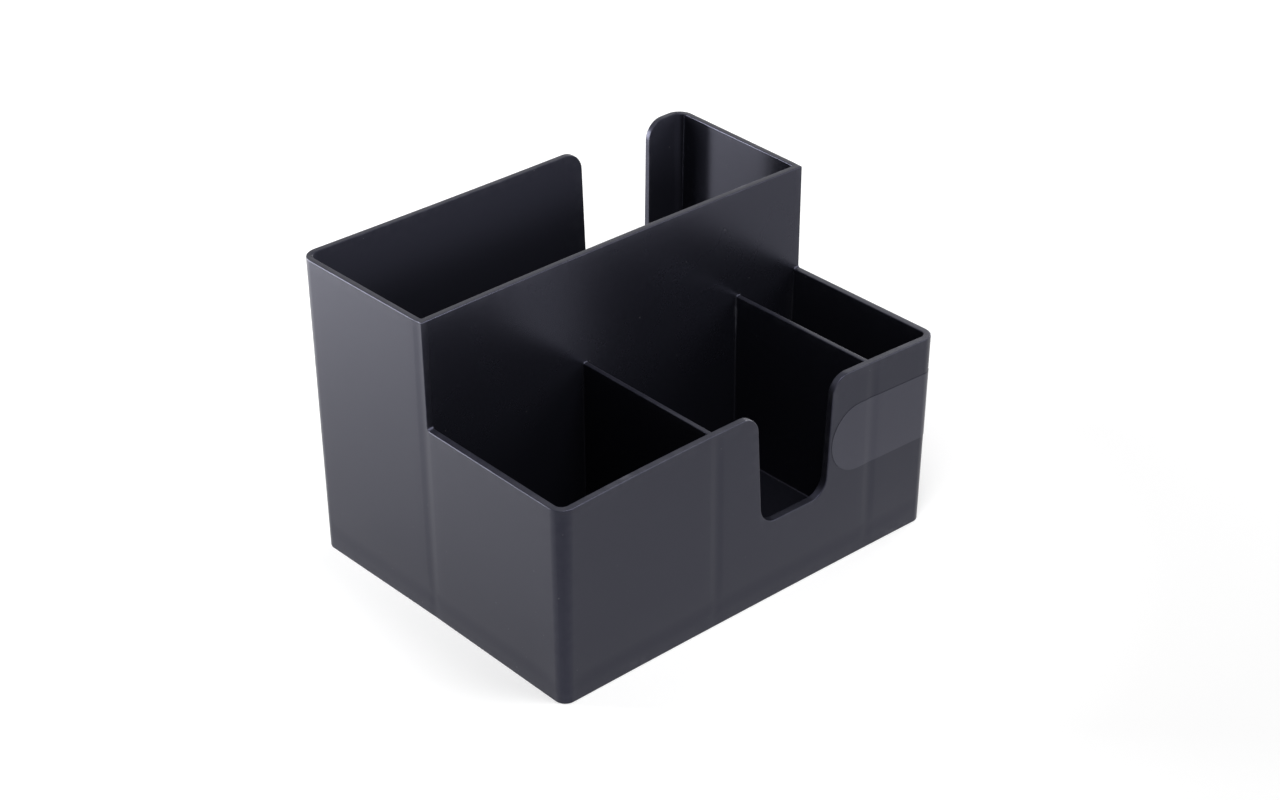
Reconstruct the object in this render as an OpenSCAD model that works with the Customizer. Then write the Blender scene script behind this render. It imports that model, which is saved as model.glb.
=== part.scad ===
// Table caddy for napkins and condiments, one injection moulding with a wrap-round label.
// The origin is on the table, under the middle of the caddy. The front faces -Y.

/* [Caddy] */
// Overall width, across the tall rim
width = 180; // [165:1:240]
// Overall depth, from the low rim in front to the tall rim behind
depth = 138; // [120:1:180]
// Height of the napkin bin
tall_h = 120; // [100:1:160]
// Height of the front compartments
low_h = 78.5; // [60:0.5:95]
// Slope of the outer faces, which widen upwards (degrees)
outer_draft = 1; // [0.5:0.1:1.6]
// Rounding of the upright corners at the foot
foot_corner_r = 4.5; // [3.5:0.1:8]

/* [Walls] */
// Thickness of the outer walls at the tall rim
rim_t = 2.4; // [1.8:0.1:3.2]
// Slope of the inner faces of the outer walls (degrees)
inner_draft = 1.5; // [1.1:0.1:2]
// Rounding of the upright inner corners at the floor
floor_corner_r = 1.2; // [0.8:0.1:3]
// Thickness of the cross wall between the bin and the compartments, at its top
bin_wall_t = 2.6; // [2:0.1:4]
// Thickness of the dividers at their top
divider_t = 2; // [1.5:0.1:3]
// Slope of both faces of the cross wall and the dividers (degrees)
divider_draft = 0.5; // [0.2:0.1:1]
// How far the dividers end below the low rim
divider_drop = 1.2; // [0.5:0.1:6]
// Rounding where the low rim runs into the bin's cross wall
step_r = 1; // [0.5:0.1:3]

/* [Rooms] */
// Clear depth of the front compartments at the low rim
front_room_d = 67.5; // [50:0.5:80]
// Clear width of the left compartment at the low rim
left_room_w = 68.5; // [50:0.5:75]
// Clear width of the right compartment at the low rim
right_room_w = 27.5; // [15:0.5:40]

/* [Floor] */
// Height of the floor's upper face above the table
floor_z = 9.2; // [7:0.1:14]
// Thickness of the floor
floor_t = 2.6; // [1.8:0.1:4]
// Thickness of the standing edge under the walls
foot_t = 2.6; // [2:0.1:3.4]

/* [Front notch] */
// Width of the front notch at its bottom
notch_w = 31.5; // [20:0.5:38]
// Height of the notch's bottom above the table
notch_z = 32; // [20:0.5:50]
// Lean of the notch's sides, which open upwards (degrees)
notch_lean = 3; // [1:0.1:6]
// Rounding of the notch's lower corners
notch_low_r = 7; // [3:0.1:9]
// Rounding of the rim's shoulders beside the notch
notch_top_r = 7; // [3:0.1:9]

/* [Rear slot] */
// Width of the rear slot at its bottom
slot_w = 30; // [22:0.5:40]
// Height of the slot's bottom above the table
slot_z = 33; // [20:0.5:70]
// Width of the rear wall that is left beside the slot, at the tall rim
slot_margin = 18.3; // [17:0.1:30]
// Lean of the slot's sides, which open upwards (degrees)
slot_lean = 1.5; // [0.5:0.1:3]
// Rounding of the slot's lower corners
slot_low_r = 7; // [3:0.1:9]
// Rounding of the rim's shoulders beside the slot
slot_top_r = 7.5; // [3:0.1:8]

/* [Label] */
// Height of the label, which is also the diameter of its round end
label_h = 27; // [20:0.5:32]
// Distance from the low rim down to the label
label_drop = 14.5; // [8:0.5:20]
// Gap between the front notch and the label's round end
label_gap = 1.3; // [0.5:0.1:6]
// Length of the label on the side wall
label_side = 26; // [18:0.5:40]
// Rounding of the label's corners at its end on the side wall
label_corner_r = 3; // [1:0.1:8]
// Thickness of the label
label_t = 0.15; // [0.1:0.01:0.4]

/* [Hidden] */
$fn = 96;

// How far a cutting shape reaches past the face that it cuts
over = 2;
outer_slope = tan(outer_draft);
inner_slope = tan(inner_draft);
divider_slope = tan(divider_draft);

// Outer faces at the foot
foot_w = width - 2 * tall_h * outer_slope;
front_foot_y = -depth / 2 + low_h * outer_slope;
rear_foot_y = depth / 2 - tall_h * outer_slope;

// Inner faces of the outer walls at the floor
wall_gain = (tall_h - floor_z) * inner_slope;
floor_half_w = width / 2 - rim_t - wall_gain;
floor_front_y = front_foot_y - tall_h * outer_slope + rim_t + wall_gain;
floor_rear_y = depth / 2 - rim_t - wall_gain;

// Inner faces of the outer walls at the low rim
room_rise = (low_h - floor_z) * inner_slope;
room_half_w = floor_half_w + room_rise;
room_front_y = floor_front_y - room_rise;

// Front face of the cross wall at the low rim, and middle of its top
bin_face_y = room_front_y + front_room_d;
bin_wall_y = bin_face_y + (tall_h - low_h) * divider_slope + bin_wall_t / 2;

// Centres of the dividers and of the middle compartment
left_divider_x = -room_half_w + left_room_w + divider_t / 2;
right_divider_x = room_half_w - right_room_w - divider_t / 2;
middle_room_x = (left_divider_x + right_divider_x) / 2;

// Length of a fillet's straight side, for a corner of 90 degrees plus the lean
function fillet_side(r, lean) = r * tan(45 - lean / 2);

// Width of the rear slot at the tall rim, and its centre
slot_top_w = slot_w + 2 * (tall_h - slot_z) * tan(slot_lean);
slot_x = width / 2 - slot_margin - slot_top_w / 2;

// Lower edge and centre line of the label, and the tip of its round end
label_low_z = low_h - label_drop - label_h;
label_z = label_low_z + label_h / 2;
label_tip_x = middle_room_x + notch_w / 2 + (label_z - notch_z) * tan(notch_lean) + label_gap;

// Axis of the upright front corner that the label is wrapped round, and the label's reach from it each way
label_axis_x = foot_w / 2 - foot_corner_r;
label_axis_y = front_foot_y + foot_corner_r;
label_front_reach = label_axis_x - label_tip_x;
label_side_reach = label_side - depth / 2 - label_axis_y;

// Radius of that corner at the tall rim, and a distance from the axis that is clear of the label
label_top_r = foot_corner_r + tall_h * outer_slope;
label_clear = label_top_r + label_t + over;

// A block whose four sides lean outwards, with cone-shaped corners. Its sizes are those of its lower face.
module drafted_block(half_w, front_y, rear_y, corner_r, h, slope) {
    span_x = 2 * (half_w - corner_r);
    span_y = rear_y - front_y - 2 * corner_r;
    edge = [[0, 0], [corner_r, 0], [corner_r + h * slope, h], [0, h]];
    translate([-span_x / 2, front_y + corner_r, 0]) {
        cube([span_x, span_y, h]);
        for (i = [0:3])
            translate([i == 0 || i == 3 ? span_x : 0, i < 2 ? span_y : 0, 0])
                rotate(90 * i) {
                    rotate_extrude(angle = 90)
                        polygon(edge);
                    rotate([90, 0, 0])
                        linear_extrude(i % 2 == 0 ? span_y : span_x)
                            polygon(edge);
                }
    }
}

// The outside of the caddy, as if it were tall all over
module outer_block() {
    drafted_block(foot_w / 2, front_foot_y, rear_foot_y, foot_corner_r, tall_h, outer_slope);
}

// Section of a wall that tapers upwards and is t thick at the height at_z
module wall_section(middle, t, at_z, top_z) {
    half_foot = t / 2 + at_z * divider_slope;
    half_top = half_foot - top_z * divider_slope;
    polygon([[middle - half_foot, 0], [middle + half_foot, 0],
             [middle + half_top, top_z], [middle - half_top, top_z]]);
}

module cross_wall() {
    translate([-width / 2, 0, 0])
        rotate([90, 0, 90])
            linear_extrude(width)
                wall_section(bin_wall_y, bin_wall_t, tall_h, tall_h + over);
}

module divider(x) {
    translate([0, bin_wall_y, 0])
        rotate([90, 0, 0])
            linear_extrude(bin_wall_y + depth / 2)
                wall_section(x, divider_t, low_h - divider_drop, low_h - divider_drop);
}

// All the room inside the outer walls, less the walls that divide it
module rooms() {
    difference() {
        translate([0, 0, floor_z])
            drafted_block(floor_half_w, floor_front_y, floor_rear_y, floor_corner_r,
                          tall_h - floor_z + over, inner_slope);
        cross_wall();
        divider(left_divider_x);
        divider(right_divider_x);
    }
}

// Side view of what is taken away above the low rim, with the fillet where the rim meets the cross wall
module step_profile() {
    front = -depth / 2 - over;
    top = tall_h + over;
    side = fillet_side(step_r, divider_draft);
    centre = [bin_face_y - side, low_h + step_r];
    tangent = [bin_face_y + side * sin(divider_draft), low_h + side * cos(divider_draft)];
    polygon([[front, low_h], [centre[0], low_h], centre, tangent,
             [bin_face_y + (top - low_h) * divider_slope, top], [front, top]]);
    translate(centre)
        circle(step_r);
}

module step_cut() {
    translate([-width / 2 - over, 0, 0])
        rotate([90, 0, 90])
            linear_extrude(width + 2 * over)
                step_profile();
}

// Half of a finger opening, seen square on: round lower corner, leaning side, rounded shoulder at the rim
module half_opening(half_w, h, lean, low_r, top_r) {
    low_side = fillet_side(low_r, lean);
    top_side = fillet_side(top_r, lean);
    low_centre = [half_w - low_side, low_r];
    low_tangent = [half_w + low_side * sin(lean), low_side * cos(lean)];
    rim_x = half_w + h * tan(lean);
    top_centre = [rim_x + top_side, h - top_r];
    top_tangent = [rim_x - top_side * sin(lean), h - top_side * cos(lean)];
    polygon([[0, 0], [low_centre[0], 0], low_centre, low_tangent, top_tangent, [rim_x, h], [0, h]]);
    translate(low_centre)
        circle(low_r);
    difference() {
        polygon([top_tangent, top_centre, [top_centre[0], h + over], [0, h + over], [0, h - top_r]]);
        translate(top_centre)
            circle(top_r);
    }
}

// A finger opening through a wall that stands across Y, between two places on Y
module finger_opening(x, z, rim_z, w, lean, low_r, top_r, from_y, to_y) {
    translate([x, to_y, z])
        rotate([90, 0, 0])
            linear_extrude(to_y - from_y)
                for (side = [0, 1])
                    mirror([side, 0, 0])
                        half_opening(w / 2, rim_z - z, lean, low_r, top_r);
}

module front_notch() {
    finger_opening(middle_room_x, notch_z, low_h, notch_w, notch_lean, notch_low_r, notch_top_r,
                   -depth / 2 - over, floor_front_y + over);
}

module rear_slot() {
    finger_opening(slot_x, slot_z, tall_h, slot_w, slot_lean, slot_low_r, slot_top_r,
                   floor_rear_y - over, depth / 2 + over);
}

// The hollow under the floor, which leaves a standing edge all round and widens downwards
module foot_hollow() {
    h = floor_z - floor_t;
    shrink = foot_t + h * outer_slope;
    translate([0, 0, h])
        mirror([0, 0, 1])
            drafted_block(foot_w / 2 - shrink, front_foot_y + shrink, rear_foot_y - shrink,
                          foot_corner_r - foot_t / 2, h + over, outer_slope);
}

module caddy_body() {
    color("#2c2c31")
        difference() {
            outer_block();
            rooms();
            step_cut();
            front_notch();
            rear_slot();
            foot_hollow();
        }
}

// The label seen square on from the front: a strip with one round end, which runs on past the corner
module label_front_outline() {
    round_x = label_h / 2 - label_front_reach;
    translate([round_x, label_z])
        circle(label_h / 2);
    translate([round_x, label_low_z])
        square([label_clear - round_x, label_h]);
}

// The label seen square on from the side, with rounded corners at its end, running on past the corner
module label_side_outline() {
    straight = label_side_reach - label_corner_r;
    translate([-label_clear, label_low_z])
        square([label_clear + straight, label_h]);
    translate([-label_clear, label_low_z + label_corner_r])
        square([label_clear + label_side_reach, label_h - 2 * label_corner_r]);
    for (z = [label_corner_r, label_h - label_corner_r])
        translate([straight, label_low_z + z])
            circle(label_corner_r);
}

// A layer of the label's thickness on the outer faces, round the corner and along both walls
module label_layer() {
    section = [[foot_corner_r, 0], [foot_corner_r + label_t, 0],
               [label_top_r + label_t, tall_h], [label_top_r, tall_h]];
    rotate(-90)
        rotate_extrude(angle = 90)
            polygon(section);
    rotate([0, 0, -90])
        rotate([90, 0, 0])
            linear_extrude(label_front_reach + over)
                polygon(section);
    mirror([0, 1, 0])
        rotate([90, 0, 0])
            linear_extrude(label_side_reach + over)
                polygon(section);
}

module wrap_label() {
    color("#3c3e45")
        translate([label_axis_x, label_axis_y, 0])
            intersection() {
                label_layer();
                union() {
                    rotate([90, 0, 0])
                        linear_extrude(label_clear)
                            label_front_outline();
                    rotate([90, 0, 90])
                        linear_extrude(label_clear)
                            label_side_outline();
                }
            }
}

caddy_body();
wrap_label();
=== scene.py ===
import math

import bmesh
import bpy
from bpy.props import FloatProperty, FloatVectorProperty, PointerProperty
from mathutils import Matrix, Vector


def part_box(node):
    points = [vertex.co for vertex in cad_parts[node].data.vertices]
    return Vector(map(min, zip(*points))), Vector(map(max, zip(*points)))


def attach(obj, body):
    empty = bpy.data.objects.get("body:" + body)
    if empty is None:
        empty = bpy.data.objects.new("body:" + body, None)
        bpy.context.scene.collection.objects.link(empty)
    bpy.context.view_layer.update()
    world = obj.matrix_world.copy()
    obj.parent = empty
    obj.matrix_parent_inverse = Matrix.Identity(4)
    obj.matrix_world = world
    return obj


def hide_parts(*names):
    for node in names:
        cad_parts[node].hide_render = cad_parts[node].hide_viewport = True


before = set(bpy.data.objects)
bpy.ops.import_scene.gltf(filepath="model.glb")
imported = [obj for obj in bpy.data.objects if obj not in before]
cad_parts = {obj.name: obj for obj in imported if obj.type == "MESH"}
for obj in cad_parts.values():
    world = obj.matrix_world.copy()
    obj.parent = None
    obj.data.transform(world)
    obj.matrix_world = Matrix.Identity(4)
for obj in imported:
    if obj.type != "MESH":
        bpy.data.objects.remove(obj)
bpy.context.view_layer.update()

bl_info = {
    "name": "Table Caddy",
    "version": (1, 0, 0),
    "blender": (4, 5, 0),
    "location": "3D View > Sidebar > Caddy",
    "description": "Builds a moulded table caddy with its label, finishes and studio",
    "category": "Object",
}

# The CAD model's own sizes, in metres
BODY_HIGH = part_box("caddy_body")[1]
LABEL_LOW, LABEL_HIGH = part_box("wrap_label")
MM = 0.001
HALF_WIDTH = BODY_HIGH[0]
HALF_DEPTH = BODY_HIGH[1]
TALL_RIM = BODY_HIGH[2]
LOW_RIM = 78.5 * MM

# Slopes of the moulding's faces
OUTER_SLOPE = math.tan(math.radians(1.0))
INNER_SLOPE = math.tan(math.radians(1.5))
THIN_SLOPE = math.tan(math.radians(0.5))

# Outer faces at the foot
FOOT_HALF_WIDTH = HALF_WIDTH - TALL_RIM * OUTER_SLOPE
FRONT_FOOT_Y = -HALF_DEPTH + LOW_RIM * OUTER_SLOPE
REAR_FOOT_Y = HALF_DEPTH - TALL_RIM * OUTER_SLOPE
FOOT_CORNER = 4.5 * MM

# The rooms: the floor's upper face, and the inner faces of the outer walls where they meet it
FLOOR_TOP = 9.2 * MM
FLOOR_THICK = 2.6 * MM
WALL_AT_RIM = 2.4 * MM
WALL_GAIN = (TALL_RIM - FLOOR_TOP) * INNER_SLOPE
ROOM_HALF_WIDTH = HALF_WIDTH - WALL_AT_RIM - WALL_GAIN
ROOM_FRONT_Y = FRONT_FOOT_Y - TALL_RIM * OUTER_SLOPE + WALL_AT_RIM + WALL_GAIN
ROOM_REAR_Y = HALF_DEPTH - WALL_AT_RIM - WALL_GAIN
ROOM_CORNER = 1.2 * MM
ROOM_RISE = (LOW_RIM - FLOOR_TOP) * INNER_SLOPE

# The cross wall in front of the napkin bin
CROSS_WALL = 2.6 * MM
CROSS_FACE_Y = ROOM_FRONT_Y - ROOM_RISE + 67.5 * MM
CROSS_Y = CROSS_FACE_Y + (TALL_RIM - LOW_RIM) * THIN_SLOPE + CROSS_WALL / 2
STEP_FILLET = 1.0 * MM

# The dividers
DIVIDER = 2.0 * MM
DIVIDER_TOP = LOW_RIM - 1.2 * MM
LEFT_DIVIDER_X = -(ROOM_HALF_WIDTH + ROOM_RISE) + 68.5 * MM + DIVIDER / 2
RIGHT_DIVIDER_X = ROOM_HALF_WIDTH + ROOM_RISE - 27.5 * MM - DIVIDER / 2

# The finger openings: the front wall's notch and the rear wall's slot
NOTCH_X = (LEFT_DIVIDER_X + RIGHT_DIVIDER_X) / 2
NOTCH_HALF = 15.75 * MM
NOTCH_BOTTOM = 32.0 * MM
NOTCH_SLOPE = math.tan(math.radians(3.0))
NOTCH_LOW_CORNER = 7.0 * MM
NOTCH_SHOULDER = 7.0 * MM
SLOT_HALF = 15.0 * MM
SLOT_BOTTOM = 33.0 * MM
SLOT_SLOPE = math.tan(math.radians(1.5))
SLOT_X = HALF_WIDTH - 18.3 * MM - SLOT_HALF - (TALL_RIM - SLOT_BOTTOM) * SLOT_SLOPE
SLOT_LOW_CORNER = 7.0 * MM
SLOT_SHOULDER = 7.5 * MM

# The hollow under the floor
FOOT_EDGE = 2.6 * MM
HOLLOW_TOP = FLOOR_TOP - FLOOR_THICK

# How far a cutting block reaches past what it cuts, and how close two places are that count as one: for the
# tests here, for the last merging of points, and for a shoulder of a finger opening
OVER = 2.0 * MM
CLOSE = 1e-6
MERGE = 2e-6
SHOULDER_REACH = 0.1 * MM

# The short straight stretch that the label's round end leaves
LABEL_END_FLAT = 0.01 * MM

# The share of an edge's length that it climbs where it counts as upright
STEEP = 0.9

# How many steps a rounding has
CORNER_STEPS = 10
EDGE_STEPS = 3
FILLET_STEPS = 6
LABEL_END_STEPS = 20
LABEL_CORNER_STEPS = 8

# Angles in degrees: folds that count as an edge of a cutting block and as a rim, folds that are taken away
# as flat, and folds that are still shaded smoothly
BLOCK_FOLD = 45
RIM_FOLD = 40
FLAT_FOLD = 0.05
SMOOTH_ANGLE = 35

# How much large faces count in the shading beside an edge, where 50 counts all faces alike
FLAT_FACE_WEIGHT = 60

# Sink marks: how far under the skin they reach, where they fade below the low rim, and the band at the floor
SKIN_DEPTH = 0.6 * MM
SINK_FADE = (LOW_RIM - 6 * MM, LOW_RIM - 1.5 * MM)
BAND_HEIGHT = FLOOR_TOP + 1 * MM
BAND_SHARE = 0.8
BAND_SPREAD = 1.5

# How far the cross wall pulls the side walls in at the foot and at the low rim
FOOT_PINCH = 0.63 * MM
LOW_RIM_PINCH = 0.72 * MM

# Ranges over which one finish turns into another: heights for the floor and the rear wall's rim, and
# distances from a room's walls, the cross wall's middle, a side wall and the rear wall for the others
TURN_INSIDE = (-0.5 * MM, -0.05 * MM)
TURN_FLOOR = (FLOOR_TOP - 2 * MM, FLOOR_TOP - 1 * MM)
TURN_CROSS = (1.5 * MM, 2.5 * MM)
TURN_SIDE = (0.0, 0.9 * MM)
TURN_SIDE_AT_REAR = (1.2 * MM, 2.2 * MM)
TURN_SIDE_AT_CROSS = (2.0 * MM, 3.0 * MM)
TURN_REAR = (0.3 * MM, 2.2 * MM)
TURN_REAR_RIM = (TALL_RIM - 34 * MM, TALL_RIM - 3 * MM)

# The plastic: how it bends light, how uneven its gloss is, how strongly its grain shows, what handling does
# to its gloss, and the colour of its standing edges, lightened partly by wear and partly as a painted
# highlight: multiplied, then lifted
PLASTIC_IOR = 1.45
PLASTIC_GLOSS_CHANGE = 0.12
PLASTIC_RELIEF = 0.6
PLASTIC_POLISH = 0.18
PLASTIC_WORN_HIGHLIT = (4, 0.035)

# The label's film, in the same way, with the size and depth of its ripples and how much its edges are worn
# and lightened as a painted highlight
FILM_IOR = 1.56
FILM_GLOSS_CHANGE = 0.15
FILM_RELIEF = 0.25
FILM_RIPPLE = 4.0 * MM
FILM_RIPPLE_DEPTH = 0.06 * MM
FILM_WEAR_HIGHLIGHT = 0.35
FILM_WORN_HIGHLIT = (1.8, 0.0)

# Dust: its colour, how far its specks stray from an even pattern, and the share of places without a speck
DUST_COLOR = (0.16, 0.16, 0.165, 1.0)
DUST_STRAY = (4.0 * MM, 4.0 * MM, 4.0 * MM)
DUST_FREE = 0.6

# The places of a Mix node's colour sockets
MIX_FACTOR = 0
MIX_FIRST = 6
MIX_SECOND = 7
MIX_RESULT = 2

# The studio floor, which lies just under the foot, and its own glow, which grows with the distance
FLOOR_SIZE = 6.0
FLOOR_GAP = 0.02 * MM
GLOW = {"From Min": 0.2, "From Max": 0.7, "To Min": 0.42, "To Max": 0.88}

# The lamps: name, place, aim, width and height, and the setting for the power
LAMPS = (
    ("left_softbox", (-0.39, 0.46, 0.16), (-0.10, 0.10, 0.02), (0.3, 0.28), "left_power"),
    ("front_softbox", (0.72, -0.80, 0.46), (0, 0, 0.08), (0.7, 0.6), "front_power"),
    ("right_softbox", (0.95, 0.25, 0.30), (0, 0, 0.08), (0.5, 0.4), "right_power"),
    ("bin_light", (0.0, -0.12, 0.30), (-0.07, 0.066, 0.11), (0.15, 0.10), "bin_power"),
)

# The camera's place and the direction of its view
CAMERA_PLACE = (-0.57624, -0.64985, 0.57188)
CAMERA_VIEW = (0.57441, 0.63974, -0.51068)
CAMERA_FRAME_MM = 36.0
CAMERA_REACH = (0.05, 20.0)


def deselect_all():
    """Leaves object mode with nothing selected."""
    if bpy.context.object and bpy.context.object.mode != "OBJECT":
        bpy.ops.object.mode_set(mode="OBJECT")
    bpy.ops.object.select_all(action="DESELECT")


def make_active(piece):
    """Selects one piece alone, in object mode."""
    deselect_all()
    piece.select_set(True)
    bpy.context.view_layer.objects.active = piece


def pick(piece, kind, test):
    """Selects, in edit mode, the vertices or edges of a piece that pass a test, and counts them."""
    bpy.context.tool_settings.mesh_select_mode = (kind == "VERT", kind == "EDGE", False)
    mesh = bmesh.from_edit_mesh(piece.data)
    mesh.normal_update()
    for group in (mesh.faces, mesh.edges, mesh.verts):
        for element in group:
            element.select = False
    chosen = [element for element in (mesh.verts if kind == "VERT" else mesh.edges) if test(element)]
    for element in chosen:
        element.select_set(True)
    mesh.select_flush_mode()
    bmesh.update_edit_mesh(piece.data)
    return len(chosen)


def round_selected(radius, steps):
    """Rounds the selected edges."""
    bpy.ops.mesh.bevel(offset=radius, segments=steps, profile=0.5, affect="EDGES", clamp_overlap=False)


def at(value, place):
    """Says whether a value lies at a place."""
    return abs(value - place) < CLOSE


def middle(edge):
    """The middle of an edge."""
    return (edge.verts[0].co + edge.verts[1].co) / 2


def span(edge):
    """How far an edge reaches along X, Y and Z."""
    run = edge.verts[1].co - edge.verts[0].co
    return abs(run.x), abs(run.y), abs(run.z)


def upright(edge):
    """Says whether an edge runs up, or nearly so."""
    return span(edge)[2] > STEEP * edge.calc_length()


def fold(edge):
    """The angle between an edge's two faces, in degrees: above zero where the edge stands out."""
    return math.degrees(edge.calc_face_angle_signed(0.0)) if len(edge.link_faces) == 2 else 0.0


def cube(name, low, high):
    """A cube primitive that is stretched between two corners, with its place in its mesh."""
    deselect_all()
    place = (Vector(low) + Vector(high)) / 2
    bpy.ops.mesh.primitive_cube_add(size=1, location=place)
    piece = bpy.context.object
    piece.name = name
    piece.scale = Vector(high) - Vector(low)
    bpy.ops.object.transform_apply(location=True, rotation=True, scale=True)
    return piece


def leaning_block(name, x, y, z, lean, corners=(0.0,) * 4, cone=(False,) * 4):
    """A block whose size is given at z[0]. Up to z[1] its faces (-X, +X, -Y, +Y) move outwards by lean.

    corners rounds its upright edges (-X-Y, +X-Y, +X+Y, -X+Y). Where cone is set, a rounding grows with
    the lean.
    """
    piece = cube(name, (x[0], y[0], min(z)), (x[1], y[1], max(z)))
    centre_x = sum(x) / 2
    centre_y = sum(y) / 2
    sides = ((-1, -1), (1, -1), (1, 1), (-1, 1))

    def at_corner(co, side):
        """Says whether a point is in the block's quarter on a side."""
        return (co.x - centre_x) * side[0] > 0 and (co.y - centre_y) * side[1] > 0

    bpy.ops.object.mode_set(mode="EDIT")
    for side, radius, grows in zip(sides, corners, cone):
        if radius:
            pick(piece, "EDGE", lambda e: upright(e) and at_corner(middle(e), side))
            round_selected(radius, CORNER_STEPS if grows else EDGE_STEPS)
    for side, radius, grows in zip(sides, corners, cone):
        pick(piece, "VERT", lambda v: at(v.co.z, z[1]) and at_corner(v.co, side))
        lean_x = lean[0] if side[0] < 0 else lean[1]
        lean_y = lean[2] if side[1] < 0 else lean[3]
        if grows:
            growth = (radius + lean_x) / radius
            axis_x = x[0] + radius if side[0] < 0 else x[1] - radius
            axis_y = y[0] + radius if side[1] < 0 else y[1] - radius
            bpy.ops.transform.resize(value=(growth, growth, 1), center_override=(axis_x, axis_y, z[1]))
        else:
            bpy.ops.transform.translate(value=(side[0] * lean_x, side[1] * lean_y, 0))
    bpy.ops.object.mode_set(mode="OBJECT")
    return piece


def combine(piece, tool, how):
    """Cuts or trims a piece with another one, which is used up."""
    make_active(piece)
    step = piece.modifiers.new(how.title(), "BOOLEAN")
    step.operation = how
    step.solver = "EXACT"
    step.object = tool
    bpy.ops.object.modifier_apply(modifier=step.name)
    bpy.data.objects.remove(tool, do_unlink=True)
    if not piece.data.polygons:
        raise RuntimeError(f"{piece.name} came out empty")


def cut_with(body, tool, radius, steps, test):
    """Rounds the edges of a block that pass a test, and cuts the block out of a piece."""
    make_active(tool)
    bpy.ops.object.mode_set(mode="EDIT")
    pick(tool, "EDGE", test)
    round_selected(radius, steps)
    combine(body, tool, "DIFFERENCE")


def outer_block(name, layer=0.0):
    """The outside of the moulding as if it were tall all over, grown by the thickness of a layer on it."""
    gain = TALL_RIM * OUTER_SLOPE
    return leaning_block(
        name,
        (-FOOT_HALF_WIDTH - layer, FOOT_HALF_WIDTH + layer),
        (FRONT_FOOT_Y - layer, REAR_FOOT_Y + layer),
        (0.0, TALL_RIM),
        (gain,) * 4,
        (FOOT_CORNER + layer,) * 4,
        (True,) * 4,
    )


def cut_step(body):
    """Takes away what stands above the low rim in front of the cross wall, but for a fillet at its foot."""
    rise = TALL_RIM + OVER - LOW_RIM
    tool = leaning_block(
        "step_tool",
        (-HALF_WIDTH - OVER, HALF_WIDTH + OVER),
        (-HALF_DEPTH - OVER, CROSS_FACE_Y),
        (LOW_RIM, TALL_RIM + OVER),
        (0.0, 0.0, 0.0, rise * THIN_SLOPE),
    )
    cut_with(body, tool, STEP_FILLET, FILLET_STEPS,
             lambda e: at(middle(e).z, LOW_RIM) and at(middle(e).y, CROSS_FACE_Y)
             and at(middle(e).x, 0.0) and not upright(e))


def half_thickness(thick, at_z, z):
    """Half the thickness at a height of a wall that is thick at at_z and tapers upwards."""
    return thick / 2 + (at_z - z) * THIN_SLOPE


def cut_bin(body, fillet):
    """Hollows out the napkin bin behind the cross wall."""
    top = TALL_RIM + OVER
    gain = (top - FLOOR_TOP) * INNER_SLOPE
    tool = leaning_block(
        "bin_tool",
        (-ROOM_HALF_WIDTH, ROOM_HALF_WIDTH),
        (CROSS_Y + half_thickness(CROSS_WALL, TALL_RIM, FLOOR_TOP), ROOM_REAR_Y),
        (FLOOR_TOP, top),
        (gain, gain, (top - FLOOR_TOP) * THIN_SLOPE, gain),
        (fillet, fillet, ROOM_CORNER, ROOM_CORNER),
        (False, False, True, True),
    )
    cut_with(body, tool, fillet, EDGE_STEPS,
             lambda e: at(middle(e).z, FLOOR_TOP) and fold(e) > BLOCK_FOLD)


def divider_block(place, rounding):
    """A divider with a rounded top, from the front wall to the cross wall."""
    foot = half_thickness(DIVIDER, DIVIDER_TOP, 0.0)
    narrowing = -DIVIDER_TOP * THIN_SLOPE
    wall = leaning_block(
        "divider",
        (place - foot, place + foot),
        (-HALF_DEPTH, CROSS_Y),
        (0.0, DIVIDER_TOP),
        (narrowing, narrowing, 0.0, 0.0),
    )
    bpy.ops.object.mode_set(mode="EDIT")
    pick(wall, "EDGE", lambda e: at(middle(e).z, DIVIDER_TOP) and at(span(e)[0], 0.0))
    round_selected(rounding, EDGE_STEPS)
    return wall


def cut_compartments(body, fillet, rounding):
    """Hollows out the front, round the two dividers with their rounded tops."""
    top = LOW_RIM + OVER
    gain = (top - FLOOR_TOP) * INNER_SLOPE
    tool = leaning_block(
        "front_tool",
        (-ROOM_HALF_WIDTH, ROOM_HALF_WIDTH),
        (ROOM_FRONT_Y, CROSS_Y - half_thickness(CROSS_WALL, TALL_RIM, FLOOR_TOP)),
        (FLOOR_TOP, top),
        (gain, gain, gain, (top - FLOOR_TOP) * THIN_SLOPE),
        (ROOM_CORNER, ROOM_CORNER, 0.0, 0.0),
        (True, True, False, False),
    )
    for place in (LEFT_DIVIDER_X, RIGHT_DIVIDER_X):
        combine(tool, divider_block(place, rounding), "DIFFERENCE")
    cut_with(body, tool, fillet, EDGE_STEPS,
             lambda e: middle(e).z < LOW_RIM and fold(e) > BLOCK_FOLD)


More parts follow.
